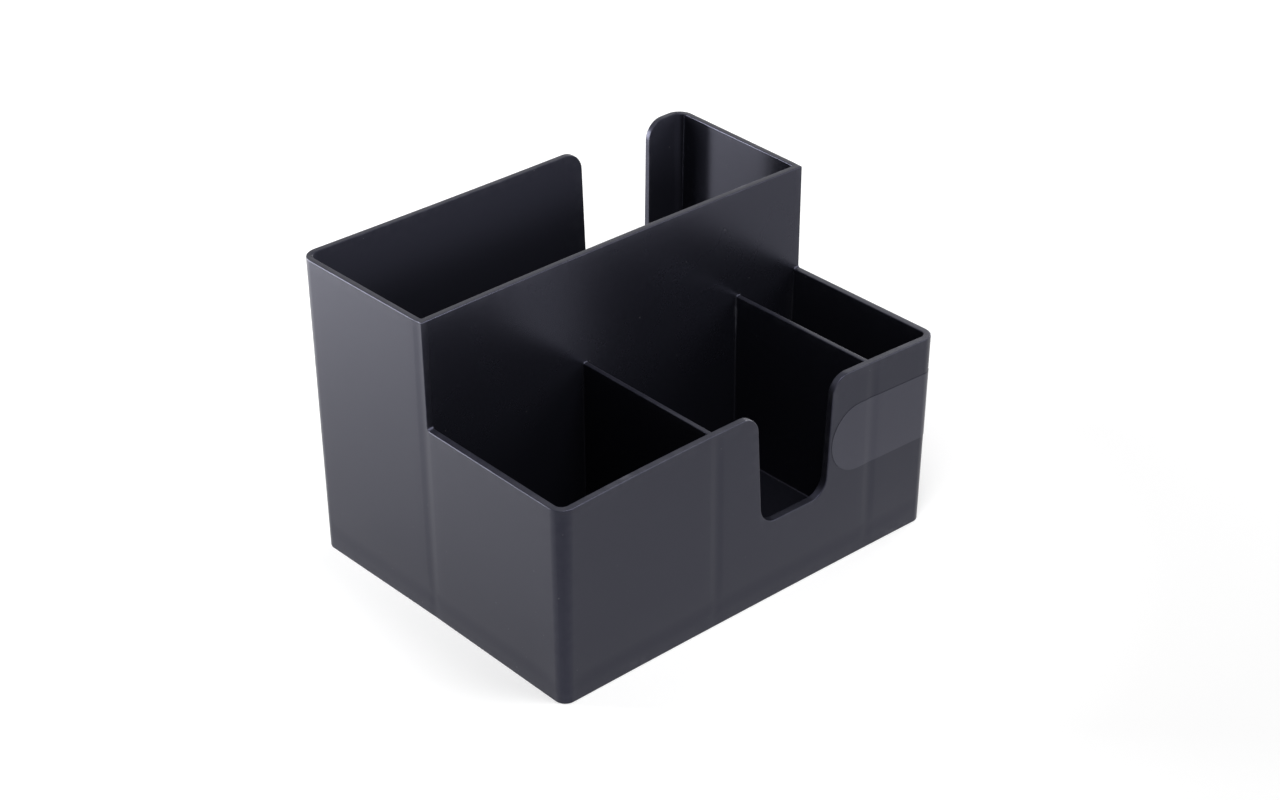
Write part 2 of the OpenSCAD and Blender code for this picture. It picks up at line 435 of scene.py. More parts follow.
def cut_opening(body, place, half, bottom, rim, slope, low_corner, y, shoulder):
    """Cuts a finger opening with round lower corners down from a rim, and rounds the shoulders beside it."""
    top = rim + OVER
    gain = (top - bottom) * slope
    tool = leaning_block(
        "opening_tool",
        (place - half, place + half),
        y,
        (bottom, top),
        (gain, gain, 0.0, 0.0),
    )
    cut_with(body, tool, low_corner, CORNER_STEPS,
             lambda e: at(middle(e).z, bottom) and abs(middle(e).x - place) > half / 2)
    make_active(body)
    bpy.ops.object.mode_set(mode="EDIT")
    reach = half + (rim - bottom) * slope

    def on_shoulder(edge):
        """Says whether an edge of the moulding is where the rim turns down into the opening."""
        centre = middle(edge)
        return (at(centre.z, rim) and y[0] < centre.y < y[1]
                and abs(abs(centre.x - place) - reach) < SHOULDER_REACH and fold(edge) > BLOCK_FOLD)

    if pick(body, "EDGE", on_shoulder) != 2:
        raise RuntimeError("the shoulders of a finger opening weren't found")
    round_selected(shoulder, CORNER_STEPS)
    bpy.ops.object.mode_set(mode="OBJECT")


def cut_hollow(body, fillet):
    """Hollows out the underside, which leaves a standing edge all round."""
    shrink = FOOT_EDGE + HOLLOW_TOP * OUTER_SLOPE
    gain = (HOLLOW_TOP + OVER) * OUTER_SLOPE
    corner = FOOT_CORNER - FOOT_EDGE / 2
    tool = leaning_block(
        "hollow_tool",
        (-FOOT_HALF_WIDTH + shrink, FOOT_HALF_WIDTH - shrink),
        (FRONT_FOOT_Y + shrink, REAR_FOOT_Y - shrink),
        (HOLLOW_TOP, -OVER),
        (gain,) * 4,
        (corner,) * 4,
        (True,) * 4,
    )
    cut_with(body, tool, fillet, EDGE_STEPS,
             lambda e: at(middle(e).z, HOLLOW_TOP) and fold(e) > BLOCK_FOLD)


def round_rims(body, radius):
    """Rounds every edge that stands out, as the mould and the trimming leave them."""
    make_active(body)
    bpy.ops.object.mode_set(mode="EDIT")
    bpy.ops.mesh.select_all(action="SELECT")
    bpy.ops.mesh.remove_doubles(threshold=CLOSE)
    bpy.ops.mesh.dissolve_limited(angle_limit=math.radians(FLAT_FOLD))
    pick(body, "EDGE", lambda e: fold(e) > RIM_FOLD)
    bpy.ops.mesh.bevel(offset=radius, segments=EDGE_STEPS, profile=0.5, affect="EDGES",
                       miter_outer="ARC", spread=radius / 2)
    bpy.ops.object.mode_set(mode="OBJECT")


def slice_up(piece, axis, places):
    """Cuts a piece's faces across at each place, so that the walls can bend."""
    make_active(piece)
    bpy.ops.object.mode_set(mode="EDIT")
    bpy.context.tool_settings.mesh_select_mode = (True, False, False)
    direction = Vector((axis == 0, axis == 1, axis == 2))
    for place in places:
        bpy.ops.mesh.select_all(action="SELECT")
        bpy.ops.mesh.bisect(plane_co=direction * place, plane_no=direction, threshold=CLOSE)
    bpy.ops.object.mode_set(mode="OBJECT")


def between(low, high, step):
    """Places spread evenly between two values, about a step apart."""
    count = max(1, round((high - low) / step))
    return [low + (high - low) * (i + 0.5) / count for i in range(count)]


def slice_for_bending(piece, step, sink):
    """Cuts a piece into a grid that is closer where a wall behind has drawn the surface in."""
    low = [min(v.co[i] for v in piece.data.vertices) for i in range(3)]
    high = [max(v.co[i] for v in piece.data.vertices) for i in range(3)]
    lines = ((LEFT_DIVIDER_X, RIGHT_DIVIDER_X), (CROSS_Y,), (FLOOR_TOP - FLOOR_THICK / 2,))
    for axis in range(3):
        close = [line + sink * k / 3 for line in lines[axis] for k in range(-3, 4)]
        wide = [p for p in between(low[axis], high[axis], step) if all(abs(p - c) > sink / 3 for c in close)]
        slice_up(piece, axis, [p for p in sorted(close + wide) if low[axis] < p < high[axis]])


def blend_in(low, high, value):
    """Rises smoothly from 0 to 1 between two values."""
    t = min(1.0, max(0.0, (value - low) / (high - low)))
    return t * t * (3 - 2 * t)


def sink_at(distance, width):
    """The share of a sink mark's depth at a distance from the wall behind it."""
    t = abs(distance) / width
    return (1 - t * t) ** 2 if t < 1 else 0.0


def skin_share(distance):
    """1 on the outer skin, and falling to 0 a little way from it."""
    return max(0.0, 1 - abs(distance) / SKIN_DEPTH)


def along(value, places, amounts):
    """The amount at a value, on straight lines between the amounts at given places."""
    for i in range(len(places) - 1):
        if value <= places[i + 1]:
            t = max(0.0, (value - places[i]) / (places[i + 1] - places[i]))
            return amounts[i] + t * (amounts[i + 1] - amounts[i])
    return amounts[-1]


def outer_faces(z):
    """Where the outer faces are at a height: the front's Y, the rear's Y and half the width."""
    return FRONT_FOOT_Y - z * OUTER_SLOPE, REAR_FOOT_Y + z * OUTER_SLOPE, FOOT_HALF_WIDTH + z * OUTER_SLOPE


def sink_marks(x, y, z, size):
    """How far a point of the front, rear and side skin has sunk opposite the inner walls and the floor."""
    front, rear, side = outer_faces(z)
    band = BAND_SHARE * sink_at(z - BAND_HEIGHT, BAND_SPREAD * size.sink_width)
    below_rim = 1 - blend_in(*SINK_FADE, z)
    above_floor = blend_in(0.0, FLOOR_TOP, z)
    lines = sum(sink_at(x - line, size.sink_width) for line in (LEFT_DIVIDER_X, RIGHT_DIVIDER_X))
    cross_line = sink_at(y - CROSS_Y, size.sink_width)
    off_corner_x = 1 - blend_in(side - 2 * FOOT_CORNER, side - FOOT_CORNER, abs(x))
    off_corner_y = blend_in(front + FOOT_CORNER, front + 2 * FOOT_CORNER, y)
    off_corner_y *= 1 - blend_in(rear - 2 * FOOT_CORNER, rear - FOOT_CORNER, y)
    on_front = skin_share(y - front) * off_corner_x
    on_rear = skin_share(y - rear) * off_corner_x
    on_side = skin_share(abs(x) - side) * off_corner_y
    sunk_front = on_front * (size.sink_depth * max(band, lines * below_rim * above_floor))
    sunk_rear = on_rear * size.sink_depth * band
    sunk_side = on_side * (size.sink_depth * max(band, cross_line * above_floor))
    return sunk_front, sunk_rear, sunk_side


def as_moulded(point, size):
    """Where a point of the drawn part lies on the real moulding, whose walls cooling has drawn in."""
    x, y, z = point
    front, rear, _ = outer_faces(z)
    sunk_front, sunk_rear, sunk_side = sink_marks(x, y, z, size)
    to_front = max(0.0, min(1.0, (CROSS_Y - y) / (CROSS_Y - front)))
    to_rear = max(0.0, min(1.0, (y - CROSS_Y) / (rear - CROSS_Y)))
    at_front = size.front_foot_bow + (size.front_bow - size.front_foot_bow) * z / LOW_RIM
    at_cross = size.cross_bow * (z / TALL_RIM)
    at_rear = -size.rear_bow * (z / TALL_RIM)
    bow = at_cross + (at_front - at_cross) * to_front + (at_rear - at_cross) * to_rear
    bulge = max(0.0, 1 - (x / HALF_WIDTH) ** 2)
    pinch = along(z, (0.0, LOW_RIM, TALL_RIM), (FOOT_PINCH, LOW_RIM_PINCH, size.side_pinch))
    moved_x = x - math.copysign(sunk_side, x) - x / HALF_WIDTH * pinch * (1 - to_front - to_rear)
    moved_y = y + sunk_front - sunk_rear + bow * bulge
    return Vector((moved_x, moved_y, z))


def bend_as_moulded(piece, size):
    """Moves each point of a piece to where it lies on the real moulding."""
    for vertex in piece.data.vertices:
        vertex.co = as_moulded(vertex.co, size)
    piece.data.update()


def skin_roughness(point, finish):
    """How rough the skin is at a point: textured outside, and polished to differing degrees inside."""
    x, y, z = point
    widening = (z - FLOOR_TOP) * INNER_SLOPE
    from_side = ROOM_HALF_WIDTH + widening - abs(x)
    from_front = y - ROOM_FRONT_Y + widening
    from_rear = ROOM_REAR_Y + widening - y
    inside = blend_in(*TURN_INSIDE, min(from_side, from_front, from_rear)) * blend_in(*TURN_FLOOR, z)
    on_cross = 1 - blend_in(*TURN_CROSS, abs(y - CROSS_Y))
    on_side = ((1 - blend_in(*TURN_SIDE, abs(from_side))) * blend_in(*TURN_SIDE_AT_REAR, from_rear)
               * blend_in(*TURN_SIDE_AT_CROSS, y - CROSS_Y))
    on_rear = 1 - blend_in(*TURN_REAR, abs(from_rear))
    rear = finish.rear_roughness
    rear += (finish.rear_rim_roughness - rear) * blend_in(*TURN_REAR_RIM, z)
    polished = finish.inner_roughness
    levels = ((on_cross, finish.cross_roughness), (on_side, finish.bin_side_roughness), (on_rear, rear))
    for share, level in levels:
        polished += (level - polished) * share
    return finish.plastic_roughness + (polished - finish.plastic_roughness) * inside


def mark_roughness(body, finish):
    """Stores on each point of the moulding how rough its skin is."""
    skin = body.data.attributes.new("skin_roughness", "FLOAT", "POINT")
    for vertex, value in zip(body.data.vertices, skin.data):
        value.value = skin_roughness(vertex.co, finish)


def smooth_finish(piece):
    """Shades a piece smoothly, with its large faces kept flat."""
    make_active(piece)
    bpy.ops.object.mode_set(mode="EDIT")
    bpy.ops.mesh.select_all(action="SELECT")
    bpy.ops.mesh.remove_doubles(threshold=MERGE)
    bpy.ops.mesh.normals_make_consistent(inside=False)
    bpy.ops.object.mode_set(mode="OBJECT")
    bpy.ops.object.shade_smooth_by_angle(angle=math.radians(SMOOTH_ANGLE))
    step = piece.modifiers.new("Weighted", "WEIGHTED_NORMAL")
    step.keep_sharp = True
    step.weight = FLAT_FACE_WEIGHT
    bpy.ops.object.modifier_apply(modifier=step.name)


def feed(tree, socket, value):
    """Joins another node's output to a socket, or sets the socket to a plain value."""
    if isinstance(value, bpy.types.NodeSocket):
        tree.links.new(value, socket)
    else:
        socket.default_value = value


def node(tree, kind, place, inputs=None, **values):
    """Adds a node with its own settings, and with what its inputs get."""
    made = tree.nodes.new(kind)
    made.location = place
    for name, value in values.items():
        setattr(made, name, value)
    for socket, value in (inputs or {}).items():
        feed(tree, made.inputs[socket], value)
    return made


def calculate(tree, place, operation, *values):
    """Adds a math node for numbers or other nodes' outputs, and gives its output."""
    return node(tree, "ShaderNodeMath", place, dict(enumerate(values)), operation=operation).outputs[0]


def mix_colors(tree, place, factor, first, second):
    """Adds a node that mixes two colours, and gives its output."""
    inputs = {MIX_FACTOR: factor, MIX_FIRST: first, MIX_SECOND: second}
    return node(tree, "ShaderNodeMix", place, inputs, data_type="RGBA").outputs[MIX_RESULT]


def new_group(name, inputs, outputs):
    """An empty shader node group of named numbers, which go in with a default and come out."""
    group = bpy.data.node_groups.new(name, "ShaderNodeTree")
    for socket, default in inputs.items():
        made = group.interface.new_socket(name=socket, in_out="INPUT", socket_type="NodeSocketFloat")
        made.default_value = default
    for socket in outputs:
        group.interface.new_socket(name=socket, in_out="OUTPUT", socket_type="NodeSocketFloat")
    return group, node(group, "NodeGroupInput", (-900, 0)), node(group, "NodeGroupOutput", (900, 0))


def grain_group():
    """The fine even texture that a spark-eroded mould leaves, and the slow unevenness of moulded plastic."""
    group, into, out = new_group("Mould Grain", {"Size": 0.0004, "Unevenness": 0.3}, ("Height", "Cloud"))
    place = node(group, "ShaderNodeTexCoord", (-900, -200)).outputs["Object"]
    scale = calculate(group, (-700, 0), "DIVIDE", 1.0, into.outputs["Size"])
    fine = node(group, "ShaderNodeTexNoise", (-450, 100),
                {"Vector": place, "Scale": scale, "Detail": 2.0, "Roughness": 0.6})
    broad = node(group, "ShaderNodeTexNoise", (-450, -250),
                 {"Vector": place, "Scale": 28.0, "Detail": 6.0, "Roughness": 0.65})
    centred = calculate(group, (-200, -250), "SUBTRACT", broad.outputs["Fac"], 0.5)
    cloud = calculate(group, (0, -250), "MULTIPLY", centred, into.outputs["Unevenness"])
    feed(group, out.inputs["Height"], fine.outputs["Fac"])
    feed(group, out.inputs["Cloud"], cloud)
    return group


def wear_highlight_group():
    """A mask of the edges that stand out, broken up by noise: where handling has polished them, and where
    they are painted lighter, partly as wear and partly as a highlight.
    """
    group, into, out = new_group("Edge Wear", {"Amount": 0.5, "Breakup": 260.0}, ("Mask",))
    sharpness = node(group, "ShaderNodeNewGeometry", (-700, 200)).outputs["Pointiness"]
    edges = node(group, "ShaderNodeMapRange", (-450, 200),
                 {"Value": sharpness, "From Min": 0.50, "From Max": 0.62})
    place = node(group, "ShaderNodeTexCoord", (-900, -200)).outputs["Object"]
    noise = node(group, "ShaderNodeTexNoise", (-450, -150),
                 {"Vector": place, "Scale": into.outputs["Breakup"], "Detail": 4.0})
    patches = node(group, "ShaderNodeMapRange", (-300, -150),
                   {"Value": noise.outputs["Fac"], "From Min": 0.38, "From Max": 0.62})
    broken = calculate(group, (-150, 50), "MULTIPLY", edges.outputs["Result"], patches.outputs["Result"])
    mask = calculate(group, (100, 50), "MULTIPLY", broken, into.outputs["Amount"])
    feed(group, out.inputs["Mask"], mask)
    return group


def dust_group():
    """Sparse light specks, as lint and dust lie on dark plastic, and a trace of dust in the inner corners."""
    group, into, out = new_group("Dust Specks", {"Spacing": 0.006, "Amount": 0.5, "Corners": 0.1}, ("Mask",))
    place = node(group, "ShaderNodeTexCoord", (-1100, 0)).outputs["Object"]
    warp = node(group, "ShaderNodeTexNoise", (-900, -250), {"Vector": place, "Scale": 90.0})
    bent = node(group, "ShaderNodeVectorMath", (-700, -100),
                {0: warp.outputs["Color"], 1: DUST_STRAY, 2: place}, operation="MULTIPLY_ADD")
    scale = calculate(group, (-700, 200), "DIVIDE", 1.0, into.outputs["Spacing"])
    cells = node(group, "ShaderNodeTexVoronoi", (-450, 0), {"Vector": bent.outputs[0], "Scale": scale})
    speck = node(group, "ShaderNodeMapRange", (-200, 100),
                 {"Value": cells.outputs["Distance"], "From Min": 0.05, "From Max": 0.02})
    chance = node(group, "ShaderNodeSeparateColor", (-200, -150), {0: cells.outputs["Color"]}).outputs[0]
    few = calculate(group, (0, -150), "GREATER_THAN", chance, DUST_FREE)
    shown = calculate(group, (200, 0), "MULTIPLY", speck.outputs["Result"], few)
    specks = calculate(group, (400, 0), "MULTIPLY", shown, into.outputs["Amount"])
    sharpness = node(group, "ShaderNodeNewGeometry", (-200, -400)).outputs["Pointiness"]
    hollow = node(group, "ShaderNodeMapRange", (0, -400),
                  {"Value": sharpness, "From Min": 0.49, "From Max": 0.42})
    corners = calculate(group, (400, -400), "MULTIPLY", hollow.outputs["Result"], into.outputs["Corners"])
    feed(group, out.inputs["Mask"], calculate(group, (650, 0), "MAXIMUM", specks, corners))
    return group


def place_group(tree, name, build, place, **values):
    """Places a node group in a material with its own values, and builds it first where it is missing."""
    group = bpy.data.node_groups.get(name) or build()
    return node(tree, "ShaderNodeGroup", place, values, node_tree=group)


def opaque(color):
    """A colour with its alpha, as a socket takes it."""
    return tuple(color) + (1.0,)


def worn_highlit_tone(color, change):
    """The lighter colour of standing edges: partly what handling leaves, partly a painted highlight."""
    factor, lift = change
    return opaque(min(1.0, c * factor + lift) for c in color)


def new_material(name):
    """A new material, with its node tree and its shader."""
    material = bpy.data.materials.new(name)
    material.use_nodes = True
    return material, material.node_tree, material.node_tree.nodes["Principled BSDF"]


def add_relief(tree, skin, height, strength, depth):
    """Gives a shader the relief of a texture."""
    bump = node(tree, "ShaderNodeBump", (-250, -250),
                {"Strength": strength, "Distance": depth, "Height": height})
    feed(tree, skin.inputs["Normal"], bump.outputs["Normal"])


def plastic(finish):
    """Black moulded plastic: a satin skin over fine grain, polished a little at the edges, with some dust;
    its standing edges are painted lighter, partly as wear and partly as a highlight.
    """
    material, tree, skin = new_material("Black Moulded Plastic")
    grain = place_group(tree, "Mould Grain", grain_group, (-900, -200),
                        Size=finish.grain_size, Unevenness=0.5)
    wear_highlight_mask = place_group(tree, "Edge Wear", wear_highlight_group, (-900, 100), Amount=finish.edge_wear_highlight)
    dust = place_group(tree, "Dust Specks", dust_group, (-900, 350), Amount=finish.dust)
    # Painted highlight: standing edges take a lighter colour, partly real wear and partly a highlight painted
    # in
    worn_highlit_color = mix_colors(tree, (-500, 300), wear_highlight_mask.outputs["Mask"], opaque(finish.plastic_color),
                      worn_highlit_tone(finish.plastic_color, PLASTIC_WORN_HIGHLIT))
    dusty = mix_colors(tree, (-250, 300), dust.outputs["Mask"], worn_highlit_color, DUST_COLOR)
    feed(tree, skin.inputs["Base Color"], dusty)
    marked = node(tree, "ShaderNodeAttribute", (-700, -50), attribute_name="skin_roughness").outputs["Fac"]
    uneven = calculate(tree, (-500, 0), "MULTIPLY_ADD", grain.outputs["Cloud"], PLASTIC_GLOSS_CHANGE, marked)
    polish = calculate(tree, (-350, 0), "MULTIPLY", wear_highlight_mask.outputs["Mask"], PLASTIC_POLISH)
    feed(tree, skin.inputs["Roughness"], calculate(tree, (-200, 0), "SUBTRACT", uneven, polish))
    skin.inputs["IOR"].default_value = PLASTIC_IOR
    skin.inputs["Specular Tint"].default_value = opaque(finish.gloss_tint)
    add_relief(tree, skin, grain.outputs["Height"], PLASTIC_RELIEF, finish.grain_depth)
    return material


def film(finish):
    """A smooth self-adhesive film, a little lighter and glossier than the plastic, with faint ripples."""
    material, tree, skin = new_material("Label Film")
    grain = place_group(tree, "Mould Grain", grain_group, (-900, -200), Size=FILM_RIPPLE, Unevenness=0.6)
    wear_highlight_mask = place_group(tree, "Edge Wear", wear_highlight_group, (-900, 100), Amount=FILM_WEAR_HIGHLIGHT)
    # Painted highlight: the film's standing edges take a lighter colour, partly real wear and partly a
    # highlight painted in
    worn_highlit_color = mix_colors(tree, (-500, 300), wear_highlight_mask.outputs["Mask"], opaque(finish.film_color),
                      worn_highlit_tone(finish.film_color, FILM_WORN_HIGHLIT))
    feed(tree, skin.inputs["Base Color"], worn_highlit_color)
    uneven = calculate(tree, (-500, 0), "MULTIPLY_ADD", grain.outputs["Cloud"], FILM_GLOSS_CHANGE,
                       finish.film_roughness)
    feed(tree, skin.inputs["Roughness"], uneven)
    skin.inputs["IOR"].default_value = FILM_IOR
    skin.inputs["Specular Tint"].default_value = opaque(finish.gloss_tint)
    add_relief(tree, skin, grain.outputs["Height"], FILM_RELIEF, FILM_RIPPLE_DEPTH)
    return material


class CaddyBodySettings(bpy.types.PropertyGroup):
    """Sizes of the moulding"""

    rim_radius: FloatProperty(
        name="Rim rounding", description="Rounding of the edges that stand out",
        default=0.4 * MM, min=0.1 * MM, max=1.0 * MM, unit="LENGTH", precision=5)
    inner_fillet: FloatProperty(
        name="Inner fillet", description="Rounding where the walls and the floor meet",
        default=0.5 * MM, min=0.1 * MM, max=1.0 * MM, unit="LENGTH", precision=5)
    front_bow: FloatProperty(
        name="Front rim bow", description="How far the middle of the front rim is drawn in",
        default=2.8 * MM, min=0.0, max=4.0 * MM, unit="LENGTH", precision=5)
    front_foot_bow: FloatProperty(
        name="Front foot bow", description="How far the middle of the front's lower edge is drawn in",
        default=0.5 * MM, min=0.0, max=2.0 * MM, unit="LENGTH", precision=5)
    cross_bow: FloatProperty(
        name="Cross wall bow", description="How far the top of the cross wall leans back in its middle",
        default=1.2 * MM, min=0.0, max=3.0 * MM, unit="LENGTH", precision=5)
    rear_bow: FloatProperty(
        name="Rear rim bow", description="How far the middle of the rear rim is drawn in",
        default=0.9 * MM, min=0.0, max=3.0 * MM, unit="LENGTH", precision=5)
    side_pinch: FloatProperty(
        name="Side pinch", description="How far the cross wall pulls the side walls in at the tall rim",
        default=0.94 * MM, min=0.0, max=2.0 * MM, unit="LENGTH", precision=5)
    sink_depth: FloatProperty(
        name="Sink depth", description="Depth of the sink marks opposite the inner walls",
        default=0.24 * MM, min=0.0, max=0.4 * MM, unit="LENGTH", precision=6)
    sink_width: FloatProperty(
        name="Sink width", description="Half the width of a sink mark",
        default=3.6 * MM, min=1.0 * MM, max=8.0 * MM, unit="LENGTH", precision=5)
    grid: FloatProperty(
        name="Grid", description="Distance between the cuts that let the walls bend",
        default=7.0 * MM, min=3.0 * MM, max=20.0 * MM, unit="LENGTH", precision=4)


class CaddyLabelSettings(bpy.types.PropertyGroup):
    """Sizes of the label"""

    thickness: FloatProperty(
        name="Thickness", description="Thickness of the film",
        default=0.12 * MM, min=0.05 * MM, max=0.15 * MM, unit="LENGTH", precision=6)
    corner: FloatProperty(
        name="Corner rounding", description="Rounding of the corners at the end on the side wall",
        default=3.0 * MM, min=1.0 * MM, max=8.0 * MM, unit="LENGTH", precision=4)


class CaddyFinishSettings(bpy.types.PropertyGroup):
    """Colours and finishes of the plastic and the label"""

    plastic_color: FloatVectorProperty(
        name="Plastic", description="Colour of the moulding", subtype="COLOR", size=3,
        default=(0.0060, 0.0062, 0.0090), min=0.0, max=1.0)
    plastic_roughness: FloatProperty(
        name="Roughness", description="Roughness of the moulding's skin",
        subtype="FACTOR", default=0.38, min=0.05, max=1.0)
    inner_roughness: FloatProperty(
        name="Inner roughness", description="Roughness of the polished insides",
        subtype="FACTOR", default=0.30, min=0.05, max=1.0)
    cross_roughness: FloatProperty(
        name="Cross wall roughness", description="Roughness of the wall in front of the bin",
        subtype="FACTOR", default=0.27, min=0.05, max=1.0)
    bin_side_roughness: FloatProperty(
        name="Bin side roughness", description="Roughness of the bin's side walls inside",
        subtype="FACTOR", default=0.13, min=0.05, max=1.0)
    rear_roughness: FloatProperty(
        name="Bin back roughness", description="Roughness of the bin's rear wall inside, low down",
        subtype="FACTOR", default=0.45, min=0.05, max=1.0)
    rear_rim_roughness: FloatProperty(
        name="Bin back rim roughness", description="Roughness of the bin's rear wall inside, near its rim",
        subtype="FACTOR", default=0.8, min=0.05, max=1.0)
    gloss_tint: FloatVectorProperty(
        name="Gloss tint", description="Cool cast of the reflections on the plastic and the film",
        subtype="COLOR", size=3, default=(0.68, 0.69, 1.0), min=0.0, max=1.0)
    grain_size: FloatProperty(
        name="Grain size", description="Size of the mould's texture",
        default=0.35 * MM, min=0.1 * MM, max=2.0 * MM, unit="LENGTH", precision=5)
    grain_depth: FloatProperty(
        name="Grain depth", description="Depth of the mould's texture",
        default=0.02 * MM, min=0.0, max=0.1 * MM, unit="LENGTH", precision=6)
    # Scales both the polish of the standing edges and their lighter colour, which is partly wear and partly a
    # painted highlight
    edge_wear_highlight: FloatProperty(
        name="Edge wear", description="How much the edges are polished",
        subtype="FACTOR", default=0.6, min=0.0, max=1.0)
    dust: FloatProperty(
        name="Dust", description="How much dust lies on the plastic",
        subtype="FACTOR", default=0.35, min=0.0, max=1.0)
    film_color: FloatVectorProperty(
        name="Film", description="Colour of the label", subtype="COLOR", size=3,
        default=(0.014, 0.014, 0.017), min=0.0, max=1.0)
    film_roughness: FloatProperty(
        name="Film roughness", description="Roughness of the label",
        subtype="FACTOR", default=0.34, min=0.05, max=1.0)


class CaddyStageSettings(bpy.types.PropertyGroup):
    """The studio's floor, lamps and lens"""

    floor_color: FloatVectorProperty(
        name="Floor", description="Colour of the floor", subtype="COLOR", size=3,
        default=(0.688, 0.688, 0.688), min=0.0, max=1.0)
    left_power: FloatProperty(
        name="Left softbox", description="Power of the low softbox at the left rear",
        default=6.6, min=0.0, unit="POWER")
    front_power: FloatProperty(
        name="Front softbox", description="Power of the softbox at the right front",
        default=5.5, min=0.0, unit="POWER")
    right_power: FloatProperty(
        name="Right softbox", description="Power of the softbox on the right",
        default=5.0, min=0.0, unit="POWER")
    bin_power: FloatProperty(
        name="Bin light", description="Power of the small lamp over the napkin bin",
        default=0.64, min=0.0, unit="POWER")
    sky_strength: FloatProperty(
        name="Room light", description="Strength of the light from all round",
        default=0.2, min=0.0, max=2.0)
    lens: FloatProperty(
        name="Lens", description="Focal length on a 36 mm frame",
        default=78.75, min=20.0, max=300.0, unit="CAMERA")


class CADDY_OT_body(bpy.types.Operator):
    """Models the moulding: outer walls, napkin bin, compartments, openings, foot and rounded rims"""

    bl_idname = "caddy.body"
    bl_label = "Moulded body"
    bl_options = {"REGISTER", "UNDO"}

    def execute(self, context):
        size = context.scene.caddy_body
        finish = context.scene.caddy_finish
        body = outer_block("moulded_body")
        cut_step(body)
        cut_bin(body, size.inner_fillet)
        cut_compartments(body, size.inner_fillet, size.rim_radius)
        cut_opening(body, NOTCH_X, NOTCH_HALF, NOTCH_BOTTOM, LOW_RIM, NOTCH_SLOPE, NOTCH_LOW_CORNER,
                    (-HALF_DEPTH - OVER, ROOM_FRONT_Y + OVER), NOTCH_SHOULDER)
        cut_opening(body, SLOT_X, SLOT_HALF, SLOT_BOTTOM, TALL_RIM, SLOT_SLOPE, SLOT_LOW_CORNER,
                    (ROOM_REAR_Y - OVER, HALF_DEPTH + OVER), SLOT_SHOULDER)
        cut_hollow(body, size.inner_fillet)
        round_rims(body, size.rim_radius)
        slice_for_bending(body, size.grid, size.sink_width)
        mark_roughness(body, finish)
        bend_as_moulded(body, size)
        smooth_finish(body)
        body.data.materials.clear()
        body.data.materials.append(plastic(finish))
        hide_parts("caddy_body")
        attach(body, "root")
        return {"FINISHED"}


class CADDY_OT_label(bpy.types.Operator):
    """Models the self-adhesive label that is wrapped round the front right corner"""

    bl_idname = "caddy.label"
    bl_label = "Wrap label"
    bl_options = {"REGISTER", "UNDO"}

    def execute(self, context):
        size = context.scene.caddy_body
        finish = context.scene.caddy_finish
        sticker = context.scene.caddy_label
        round_end = (LABEL_HIGH[2] - LABEL_LOW[2]) / 2 - LABEL_END_FLAT
        outline = cube("label_outline", (LABEL_LOW[0], -HALF_DEPTH - OVER, LABEL_LOW[2]),
                       (HALF_WIDTH + OVER, LABEL_HIGH[1], LABEL_HIGH[2]))
        bpy.ops.object.mode_set(mode="EDIT")
        pick(outline, "EDGE", lambda e: at(middle(e).x, LABEL_LOW[0]) and span(e)[1] > OVER)
        round_selected(round_end, LABEL_END_STEPS)
        pick(outline, "EDGE", lambda e: at(middle(e).y, LABEL_HIGH[1]) and span(e)[0] > OVER
             and at(span(e)[2], 0.0))
        round_selected(sticker.corner, LABEL_CORNER_STEPS)
        bpy.ops.object.mode_set(mode="OBJECT")
        label = outer_block("wrap_film", sticker.thickness)
        combine(label, outline, "INTERSECT")
        combine(label, outer_block("label_back"), "DIFFERENCE")
        slice_for_bending(label, size.grid, size.sink_width)
        bend_as_moulded(label, size)
        smooth_finish(label)
        label.data.materials.clear()
        label.data.materials.append(film(finish))
        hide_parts("wrap_label")
        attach(label, "root")
        return {"FINISHED"}


def seen_directly(tree, place):
    """1 for rays from the camera, or off a glossy or through a clear surface, and 0 for the light itself."""
    path = node(tree, "ShaderNodeLightPath", place)
    first = calculate(tree, (place[0] + 200, place[1]), "ADD",
                      path.outputs["Is Camera Ray"], path.outputs["Is Glossy Ray"])
    seen = calculate(tree, (place[0] + 400, place[1]), "ADD", first, path.outputs["Is Transmission Ray"])
    seen.node.use_clamp = True
    return seen


def studio_floor(stage):
    """The floor: pale paper that takes the caddy's shadow, with a glow that keeps it white in the picture."""
    material = bpy.data.materials.new("Studio Floor")
    material.use_nodes = True
    tree = material.node_tree
    tree.nodes.clear()
    paper = node(tree, "ShaderNodeBsdfDiffuse", (0, 100), {"Color": opaque(stage.floor_color)})
    place = node(tree, "ShaderNodeTexCoord", (-800, -350)).outputs["Object"]
    reach = node(tree, "ShaderNodeVectorMath", (-600, -350), {0: place}, operation="LENGTH")
    spread = node(tree, "ShaderNodeMapRange", (-400, -350), {"Value": reach.outputs["Value"], **GLOW})
    strength = calculate(tree, (-200, -100), "MULTIPLY", seen_directly(tree, (-800, -100)),
                         spread.outputs["Result"])
    glow = node(tree, "ShaderNodeEmission", (0, -100), {"Strength": strength})
    both = node(tree, "ShaderNodeAddShader", (250, 0), {0: paper.outputs[0], 1: glow.outputs[0]})
    node(tree, "ShaderNodeOutputMaterial", (500, 0), {"Surface": both.outputs[0]})
    return material


def studio_room(stage):
    """The room: a plain light from all round, which is white where it is seen."""
    world = bpy.data.worlds.new("Studio Room")
    world.use_nodes = True
    tree = world.node_tree
    background = tree.nodes["Background"]
    background.inputs["Color"].default_value = (1.0, 1.0, 1.0, 1.0)
    strength = calculate(tree, (-200, 0), "MULTIPLY_ADD", seen_directly(tree, (-1000, 0)),
                         1.0 - stage.sky_strength, stage.sky_strength)
    feed(tree, background.inputs["Strength"], strength)
    return world


